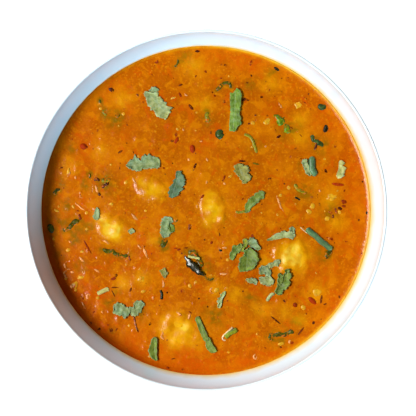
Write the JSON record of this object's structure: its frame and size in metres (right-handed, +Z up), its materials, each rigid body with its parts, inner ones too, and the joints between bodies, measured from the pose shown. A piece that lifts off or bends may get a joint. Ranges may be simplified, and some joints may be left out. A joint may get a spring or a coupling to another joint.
{
  "type": "bowl of dal",
  "caption": "Round white bowl filled with thick orange dal, with boiled potato chunks breaking the surface, scattered with chopped coriander and cumin.",
  "frame": {"origin": "middle of the bowl's foot, on the surface that it stands on", "axes": "+Z up out of the bowl; +X to the right and +Y away, as the bowl is seen from above"},
  "size_m": [0.16, 0.16, 0.064],
  "materials": {
    "bowl_glaze": "smooth white gloss glaze",
    "dal_gravy": "wet, thick, grainy orange lentil stew",
    "boiled_potato": "soft boiled potato, stained yellow and filmed with stew",
    "coriander_leaf": "fresh chopped leaf, matt with fine veins",
    "coriander_stem": "fresh cut green stem with a slight sheen",
    "cooked_herb": "dark wilted herb, wet",
    "lentil": "soft cooked split lentil, wet",
    "cumin_seed": "ribbed brown seed",
    "chilli_skin": "thin wet red skin"
  },
  "bodies": {
    "root": {"bowl": "bowl_glaze", "dal": "dal_gravy", "potato_left": "boiled_potato", "potato_upper": "boiled_potato", "potato_middle": "boiled_potato", "potato_right": "boiled_potato", "potato_lower": "boiled_potato"}
  },
  "joints": []
}
